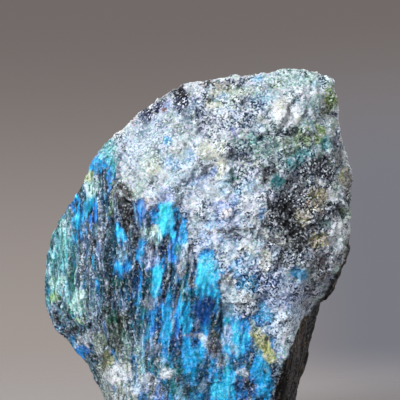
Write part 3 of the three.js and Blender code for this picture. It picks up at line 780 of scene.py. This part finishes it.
# flashes: the ones that show on the broad face, and some on the hidden sides
speckle = np.ones(len(p))
wx = fx + 0.55 * warp[:, 0] + 0.5 * n3; wz = fz + 0.9 * warp[:, 1] + 0.8 * n3
glow = np.full(len(p), -1.0); hue = np.zeros(len(p)); halo = np.zeros(len(p))
torn = np.where(splintery > 0.5, 0.70 * streak + 0.12 * (r_s2 - 0.5) + 0.18 * (r_s3 - 0.5) + 0.40 * fleck + 0.20 * n5 + 0.50 * fibre, 0.4 * n3 + 0.3 * (r_g3 - 0.5) + 0.3 * n5)
for x, z, half_long, half_wide, lean, strength, h in FLASHES:
    shape = blob(x, z, half_long * 1.35, half_wide * 1.4, lean, wx, wz)
    g = 1.1 * strength * smooth(shape + (0.9 - 0.4 * strength) * torn, -0.26, 0.62) * (0.98 + 0.35 * torn)
    halo = np.maximum(halo, strength * smooth(shape + 1.2 * torn, -1.1, 0.2))
    hue = np.where(g > glow, h, hue)
    glow = np.maximum(glow, g)
glow = glow * seen
tint = blend(tint, choose(r_s2, ("deepteal", "deepblue", "steel", "deepteal", "petrol", "mauve")), np.clip(halo, 0, 1) * seen * splintery * 0.62)
spread = np.clip(0.28 + 0.75 * blob(1.0, 30.0, 24.0, 17.0, 10, wx, wz), 0.0, 0.62)     # more of them low in the middle
stray = (spread + 0.75 * streak + 0.3 * (r_s2 - 0.5) + 0.25 * n2) * splinter_front
lee = (smooth(n4 + 0.25 * n2, -0.2, 0.3) * 0.75 - 0.32 + 0.9 * streak + 0.3 * (r_s2 - 0.5)) * splinter_back * (1 - flank)
stray = np.where(stray > lee, stray, lee)
hue = np.where(stray > glow, 1.1 * n1 + 0.6 * (r_s2 - 0.5) - 0.15 - 0.5 * smooth(fx, -18, -30), hue)
glow = np.maximum(glow, stray * 0.9)
hue = np.clip(hue + 0.3 * n3 + 0.5 * n5 + 0.2 * (r_s3 - 0.5), -1, 1)
at = np.clip(glow, 0, 1.1)
three = [np.stack([np.interp(at, (0.0, 0.28, 0.56, 0.9, 1.15), linear(row)[:, k]) for k in range(3)], 1) for row in GLOW]
lit = blend(blend(three[1], three[0], -hue), three[2], hue)
lit_amount = smooth(glow, 0.06, 0.30)
tint = blend(tint, lit, lit_amount * 0.96)
speckle = speckle - 0.75 * lit_amount * smooth(glow, 0.15, 0.7)

# a pale bevel all along the top, where the face turns away: the chamfer's pale colour with a painted highlight on it
bevel_highlight = smooth(facing + 0.10 * n3 + 0.1 * n5, 0.60, 0.36) * np.maximum(smooth(fz, 72, 82) * smooth(fx, 30.0, 16.0), smooth(fx, 28.0, 33.0) * smooth(fz, 44, 50) * (0.35 + 0.65 * smooth(n2 + 0.5 * n1, -0.15, 0.2))) * smooth(facing, -0.45, -0.2)
tint = blend(tint, linear((226, 228, 226)), bevel_highlight * (0.85 - 0.25 * r_g3))

CALM = {"petrol": 0.3, "indigo": 1.2, "lakeblue": 0.25, "azure": 0.45, "blue": 0.6, "deepteal": 0.7, "teal": 0.7, "black": 0.32, "deepblue": 0.2, "umber": 0.8, "darkolive": 0.8,
        "yellow": 0.5, "straw": 0.6, "olive": 0.7, "green": 0.6}
jitter = np.where(splintery > 0.5, 0.25 * (r_s2 - 0.5) + 0.25 * (r_s3 - 0.5) + 0.55 * streak, 0.16 * (r_g2 - 0.5) + 0.22 * (r_g3 - 0.5) + 0.35 * n5)
for colour, x, z, half_long, half_wide, lean, amount in PATCHES:
    m = blob(x, z, half_long * 1.2, half_wide * 1.2, lean, wx, wz)
    m = smooth(m + 0.65 * jitter, -0.05, 0.38) * seen * amount
    tint = blend(tint, COLOUR[colour] * (0.8 + 0.4 * r_s3[:, None]), m)
    speckle += (CALM.get(colour, 0.95) - speckle) * m

# long light and dark streaks through it all
tint = tint * np.exp((0.95 - 0.35 * lit_amount) * (0.8 * fleck + 0.7 * streak + 0.7 * fibre - 0.16) * ribbed + (0.26 + 0.5 * lumpy) * (n5 + 0.6 * n3) * (1 - ribbed))[:, None]


# the weathered flank: its brown rind painted nearly black with shade where the front view sees it, browner and greyer
# round the corner
rind_and_painted_shade = blend(np.tile(linear((20, 15, 11)), (len(p), 1)), linear((78, 62, 38)), smooth(n2 + 0.6 * (pick(f1_who, 9) - 0.5), -0.02, 0.45))
rind_and_painted_shade = blend(rind_and_painted_shade, linear((12, 10, 10)), smooth(-n3 - n2 + 0.5 * streak, 0.0, 0.5))
corner = blend(np.tile(linear((92, 84, 76)), (len(p), 1)), COLOUR["umber"], smooth(-n2 - 0.4 * n3, -0.05, 0.4) * 0.85)
corner = blend(corner, COLOUR["taupe"], smooth(n1 + 0.5 * n3, 0.05, 0.4) * 0.8)
corner = blend(corner, COLOUR["brown"], smooth(n3 + 0.6 * (pick(f1_who, 9) - 0.5), 0.05, 0.5) * 0.7)
corner = blend(corner, linear((150, 148, 140)), smooth(n2 + 0.6 * n5, 0.35, 0.7) * 0.7)
rind_and_painted_shade = blend(rind_and_painted_shade, corner, smooth(-facing + 0.15 * n2, 0.02, 0.34) * 0.95)
tint = blend(tint, rind_and_painted_shade, flank)

# the splintery side is cooler between the flashes
cool = splinter_front * (1 - lit_amount) * (1 - flank) * smooth(fz, 24, 32)
tint = tint * (1 + cool[:, None] * np.array((-0.22, 0.0, 0.12)))

# painted shade darkens the grooves, broken edges are powdery
painted_groove_shade = smooth(-cavity, 0.03, 0.34) * (0.5 + 0.5 * splintery) * (1 - 0.5 * lit_amount)
tint = tint * (1 - painted_groove_shade[:, None] * (0.74, 0.66, 0.58))
powder = smooth(cavity, 0.09, 0.32) * (0.35 + 0.4 * (n3 > 0)) * (1 - 0.8 * flank) * (0.3 + 0.7 * np.clip(speckle, 0, 1))
tint = blend(tint, linear((206, 220, 232)), powder * 0.5)
tint = np.clip(tint, 0.002, 0.95)

# how the shader breaks the colour up: splintery or not, sparks (painted glints) and pits; then how strong its pale
# grains, partly painted glints, and dark grains are
light = tint @ (0.21, 0.72, 0.07)
gloom = smooth(light, 0.16, 0.03)
patchy = 0.35 + 0.65 * clump - 0.30 * clear + 0.25 * n5      # clumps of crushed grain between clearer patches
soft = (smooth(blob(-8.5, 74.0, 17.0, 13.0, 20, wx, wz), -0.15, 0.35) * seen + 0.25 * clear) * (1 - 0.8 * gloom)     # powdery, with few dark grains
crisp = np.zeros(len(p))                      # broken to sharp, glittering grain
for x, z, half_long, half_wide in ((19.7, 40.0, 11, 13), (26.0, 60.0, 16, 13), (7.0, 86.0, 7, 12), (15.0, 73.0, 6, 8)):
    crisp = np.maximum(crisp, smooth(blob(x, z, half_long, half_wide, 0, wx, wz), -0.1, 0.4) * seen)
zone = np.zeros((len(p), 4)); zone[:, 3] = 1
zone[:, 0] = ribbed
# sparks: painted glints, more where the colour is dark and on raised edges
zone[:, 1] = (0.22 - 0.14 * splinter_front + (0.75 - 0.55 * splinter_front - 0.45 * hidden) * gloom * (0.2 + 0.8 * patchy) + 0.4 * smooth(cavity, 0.02, 0.2)) * (0.15 + 0.85 * speckle) * (1 - 0.85 * flank)
zone[:, 2] = np.clip((0.95 - 0.45 * gloom) * (0.25 + 0.75 * patchy) * (0.2 + 0.8 * speckle) * (1 - 0.45 * soft) * (1 + 0.3 * crisp), 0, 1)
grit = np.zeros((len(p), 4)); grit[:, 3] = 1
# whites: pale grains and painted glints, more on raised edges
grit[:, 0] = (0.08 + 0.62 * smooth(light, 0.02, 0.35) + 0.30 * smooth(cavity, 0.03, 0.25)) * (0.3 + 0.7 * speckle) * (1 - 0.9 * flank)
grit[:, 1] = np.clip((0.85 + 0.2 * gloom) * (0.4 + 0.6 * speckle) * (0.28 + 0.3 * gloom + 1.0 * np.where(splintery > 0.5, 0.45, patchy)) * (1 - 0.30 * soft) * (1 + 0.6 * crisp), 0, 1)
grit[:, 0] = grit[:, 0] * (0.75 + 0.35 * clump - 0.15 * clear) * (1 + 0.35 * crisp)
grit[:, 1] = grit[:, 1] * (1 - 0.45 * smooth(light, 0.42, 0.78))
zone[:, 2] = zone[:, 2] * (1 - 0.4 * smooth(light, 0.42, 0.78))
grit[:, 2] = 0.08 + 0.26 * np.clip(speckle, 0, 1)


def attribute(name, kind, values):
    a = mesh.attributes.new(name, kind, "POINT")
    a.data.foreach_set("vector" if kind == "FLOAT_VECTOR" else "color", np.ascontiguousarray(values, np.float32).ravel())


attribute("tint", "FLOAT_COLOR", np.concatenate([tint, np.ones((len(p), 1))], 1))
attribute("zone", "FLOAT_COLOR", zone)
attribute("grit", "FLOAT_COLOR", grit)
attribute("flow", "FLOAT_VECTOR", flow * (1, 1, 0.25))
mesh.polygons.foreach_set("use_smooth", [True] * len(mesh.polygons))
stone = bpy.data.objects.new("rough_labradorite", mesh)
scene.collection.objects.link(stone)


# ---------------------------------------------------------------- material
class Nodes:
    def __init__(self, material):
        material.use_nodes = True
        self.tree = material.node_tree
        self.tree.nodes.clear()

    def add(self, kind, inputs=None, **settings):
        n = self.tree.nodes.new(kind)
        for k, value in settings.items():
            setattr(n, k, value)
        for k, value in (inputs or {}).items():
            if isinstance(value, bpy.types.NodeSocket):
                self.tree.links.new(value, n.inputs[k])
            else:
                n.inputs[k].default_value = value
        return n

    def math(self, op, a, b=0.0, clamp=False):
        return self.add("ShaderNodeMath", {0: a, 1: b}, operation=op, use_clamp=clamp).outputs[0]

    def ramp(self, value, low, high):
        n = self.add("ShaderNodeMapRange", {"Value": value, "From Min": low, "From Max": high}, interpolation_type="SMOOTHSTEP")
        return n.outputs["Result"]

    def mix(self, factor, a, b):
        n = self.add("ShaderNodeMix", {"Factor": factor}, data_type="RGBA")
        for k, value in ((6, a), (7, b)):
            if isinstance(value, bpy.types.NodeSocket):
                self.tree.links.new(value, n.inputs[k])
            else:
                n.inputs[k].default_value = value
        return n.outputs[2]

    def mixf(self, factor, a, b):
        n = self.add("ShaderNodeMix", {"Factor": factor, "A": a, "B": b}, data_type="FLOAT")
        return n.outputs[0]


def rgba(rgb):
    return (*[float(c) for c in linear(rgb)], 1.0)


rock = bpy.data.materials.new("labradorite")
N = Nodes(rock)
out = N.add("ShaderNodeOutputMaterial")
coords = N.add("ShaderNodeTexCoord").outputs["Object"]
mm = N.add("ShaderNodeVectorMath", {0: coords, "Scale": 1000.0}, operation="SCALE").outputs[0]
tint_in = N.add("ShaderNodeAttribute", attribute_name="tint").outputs["Color"]
zone_in = N.add("ShaderNodeSeparateColor", {0: N.add("ShaderNodeAttribute", attribute_name="zone").outputs["Color"]})
flow_in = N.add("ShaderNodeAttribute", attribute_name="flow").outputs["Vector"]
is_splint, glint_sparks, pits = zone_in.outputs[0], zone_in.outputs[1], zone_in.outputs[2]

grit_in = N.add("ShaderNodeSeparateColor", {0: N.add("ShaderNodeAttribute", attribute_name="grit").outputs["Color"]})
whites_and_glints, darks, motley = grit_in.outputs


def grit(vector):
    """A signal about 0: above it pale broken grains, which also carry painted glints, below it dark pits. Also the
    colour of each tiny chip.
    """
    blot = N.add("ShaderNodeTexNoise", {"Vector": vector, "Scale": 1.2, "Detail": 3.0, "Roughness": 0.62})
    chip = N.add("ShaderNodeTexVoronoi", {"Vector": vector, "Scale": 2.6}, feature="F1")
    coarse = N.add("ShaderNodeTexVoronoi", {"Vector": vector, "Scale": 1.25}, feature="F1")
    c = N.add("ShaderNodeSeparateColor", {0: chip.outputs["Color"]})
    d = N.add("ShaderNodeSeparateColor", {0: coarse.outputs["Color"]})
    s = N.math("MULTIPLY", N.math("SUBTRACT", blot.outputs["Fac"], 0.5), 1.5)
    s = N.math("ADD", s, N.math("MULTIPLY", N.math("SUBTRACT", c.outputs[0], 0.5), 2.5))
    s = N.math("ADD", s, N.math("MULTIPLY", N.math("SUBTRACT", d.outputs[0], 0.5), 0.4))
    return s, c.outputs[1], c.outputs[2], chip.outputs["Color"]


s_iso, b_iso, c_iso, k_iso = grit(mm)
s_ani, b_ani, c_ani, k_ani = grit(flow_in)
along = N.math("MULTIPLY", is_splint, 0.55)
signal = N.math("MULTIPLY", N.mixf(along, s_iso, s_ani), 1.5)
cell_b = N.mixf(is_splint, b_iso, b_ani)

# each tiny chip has a tint of its own
varied = N.add("ShaderNodeMix", {"Factor": motley}, data_type="RGBA", blend_type="SOFT_LIGHT")
N.tree.links.new(tint_in, varied.inputs[6]); N.tree.links.new(k_iso, varied.inputs[7])
base = varied.outputs[2]

# painted glints: white sparks on single tiny chips
glint_spark = N.math("MULTIPLY", N.ramp(c_iso, 0.80, 0.86), glint_sparks)
pit = N.math("MULTIPLY", N.ramp(c_iso, 0.18, 0.12), pits)
# pale grains, with painted glints among them
pale_grain_and_glint = N.math("MULTIPLY", N.ramp(signal, 0.08, 0.80), whites_and_glints)
darkness = N.math("MAXIMUM", N.math("MULTIPLY", N.ramp(signal, 0.05, -0.75), darks), pit)
dim = N.mix(darkness, (1, 1, 1, 1), (0.07, 0.11, 0.17, 1))
dimmed = N.add("ShaderNodeMix", {"Factor": 1.0}, data_type="RGBA", blend_type="MULTIPLY")
N.tree.links.new(base, dimmed.inputs[6]); N.tree.links.new(dim, dimmed.inputs[7])
lifted = N.add("ShaderNodeMix", {"Factor": 1.0}, data_type="RGBA", blend_type="SCREEN")
N.tree.links.new(base, lifted.inputs[6]); N.tree.links.new(base, lifted.inputs[7])
pale = N.mix(N.mixf(is_splint, 0.5, 0.7), rgba((226, 236, 246)), lifted.outputs[2])
colour = N.mix(glint_spark, N.mix(pale_grain_and_glint, dimmed.outputs[2], pale), rgba((224, 232, 242)))

rough = N.mixf(cell_b, 0.24, 0.60)
bump = N.add("ShaderNodeBump", {"Strength": 0.35, "Distance": 0.00014, "Height": signal})
shader = N.add("ShaderNodeBsdfPrincipled", {"Base Color": colour, "Roughness": rough, "Normal": bump.outputs[0]})
shader.inputs["IOR"].default_value = 1.56
shader.inputs["Specular IOR Level"].default_value = 0.15
N.tree.links.new(shader.outputs[0], out.inputs[0])
mesh.materials.append(rock)

# ---------------------------------------------------------------- floor, light, camera
floor_mesh = bpy.data.meshes.new("floor")
work = bmesh.new()
bmesh.ops.create_circle(work, cap_ends=True, segments=96, radius=1.6)
work.to_mesh(floor_mesh); work.free()
floor = bpy.data.objects.new("floor", floor_mesh)
floor.location.z = -0.00002
scene.collection.objects.link(floor)
ground = bpy.data.materials.new("floor")
G = Nodes(ground)
g_out = G.add("ShaderNodeOutputMaterial")
g_co = G.add("ShaderNodeTexCoord").outputs["Object"]
g_r = G.add("ShaderNodeVectorMath", {0: g_co}, operation="LENGTH").outputs["Value"]
g_fade = G.ramp(g_r, 0.03, 0.22)
g_fleck = G.add("ShaderNodeTexNoise", {"Vector": g_co, "Scale": 900.0, "Detail": 2.0})
g_col = G.mix(G.math("MULTIPLY", g_fleck.outputs["Fac"], 0.10), (0.27, 0.25, 0.245, 1), (0.235, 0.22, 0.215, 1))
g_diff = G.add("ShaderNodeBsdfPrincipled", {"Base Color": g_col, "Roughness": 0.85})
g_clear = G.add("ShaderNodeBsdfTransparent")
g_mix = G.add("ShaderNodeMixShader", {0: g_fade, 1: g_diff.outputs[0], 2: g_clear.outputs[0]})
G.tree.links.new(g_mix.outputs[0], g_out.inputs[0])
floor_mesh.materials.append(ground)

world = bpy.data.worlds.new("studio")
scene.world = world
world.use_nodes = True
W = Nodes.__new__(Nodes)
W.tree = world.node_tree
W.tree.nodes.clear()
w_way = W.add("ShaderNodeSeparateXYZ", {0: W.add("ShaderNodeTexCoord").outputs["Generated"]})
w_low = W.ramp(w_way.outputs[2], 0.10, -0.15)
w_right = W.math("MULTIPLY", W.ramp(w_way.outputs[0], -0.03, 0.12), W.ramp(w_way.outputs[2], 0.09, -0.03))
w_col = W.mix(w_low, (0.166, 0.144, 0.138, 1), (0.365, 0.323, 0.303, 1))
w_col = W.mix(w_right, w_col, (0.190, 0.192, 0.222, 1))
w_out = W.add("ShaderNodeOutputWorld", {0: W.add("ShaderNodeBackground", {"Color": w_col, "Strength": 1.0}).outputs[0]})


def area(name, place, aim, size, power, colour=(1, 1, 1)):
    light = bpy.data.lights.new(name, "AREA")
    light.shape = "RECTANGLE"; light.size = size[0]; light.size_y = size[1]
    light.energy = power; light.color = colour
    o = bpy.data.objects.new(name, light)
    o.location = place
    o.rotation_euler = (Vector(aim) - Vector(place)).to_track_quat("-Z", "Y").to_euler()
    scene.collection.objects.link(o)


area("key", (-0.55, -0.56, 0.50), (0, 0, 0.055), (0.26, 0.26), 9.5, (0.97, 0.985, 1.0))
area("fill", (0.10, -0.90, 0.20), (0, 0, 0.05), (0.5, 0.5), 2.0, (0.93, 0.97, 1.0))
area("back_left", (-0.60, 0.55, 0.50), (0, 0, 0.05), (0.5, 0.5), 4.0)
area("back_right", (0.34, 0.76, 0.45), (0, 0, 0.05), (0.5, 0.5), 4.0)
area("right", (0.78, 0.26, 0.35), (0, 0, 0.05), (0.5, 0.5), 2.2)

camera = bpy.data.cameras.new("camera")
camera.lens = 135.0; camera.sensor_width = 36.0
camera.clip_start = 0.01; camera.clip_end = 20.0
eye = bpy.data.objects.new("camera", camera)
eye.location = [c * MM for c in EYE]
target = Vector((0.93, FRONT_PLANE, 63.75)) * MM
eye.rotation_euler = (target - Vector(eye.location)).to_track_quat("-Z", "Y").to_euler()
scene.collection.objects.link(eye)
scene.camera = eye
scene.view_settings.view_transform = "Standard"

# ---------------------------------------------------------------- hand the pieces to the frame
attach(stone, "root")
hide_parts(NODE)
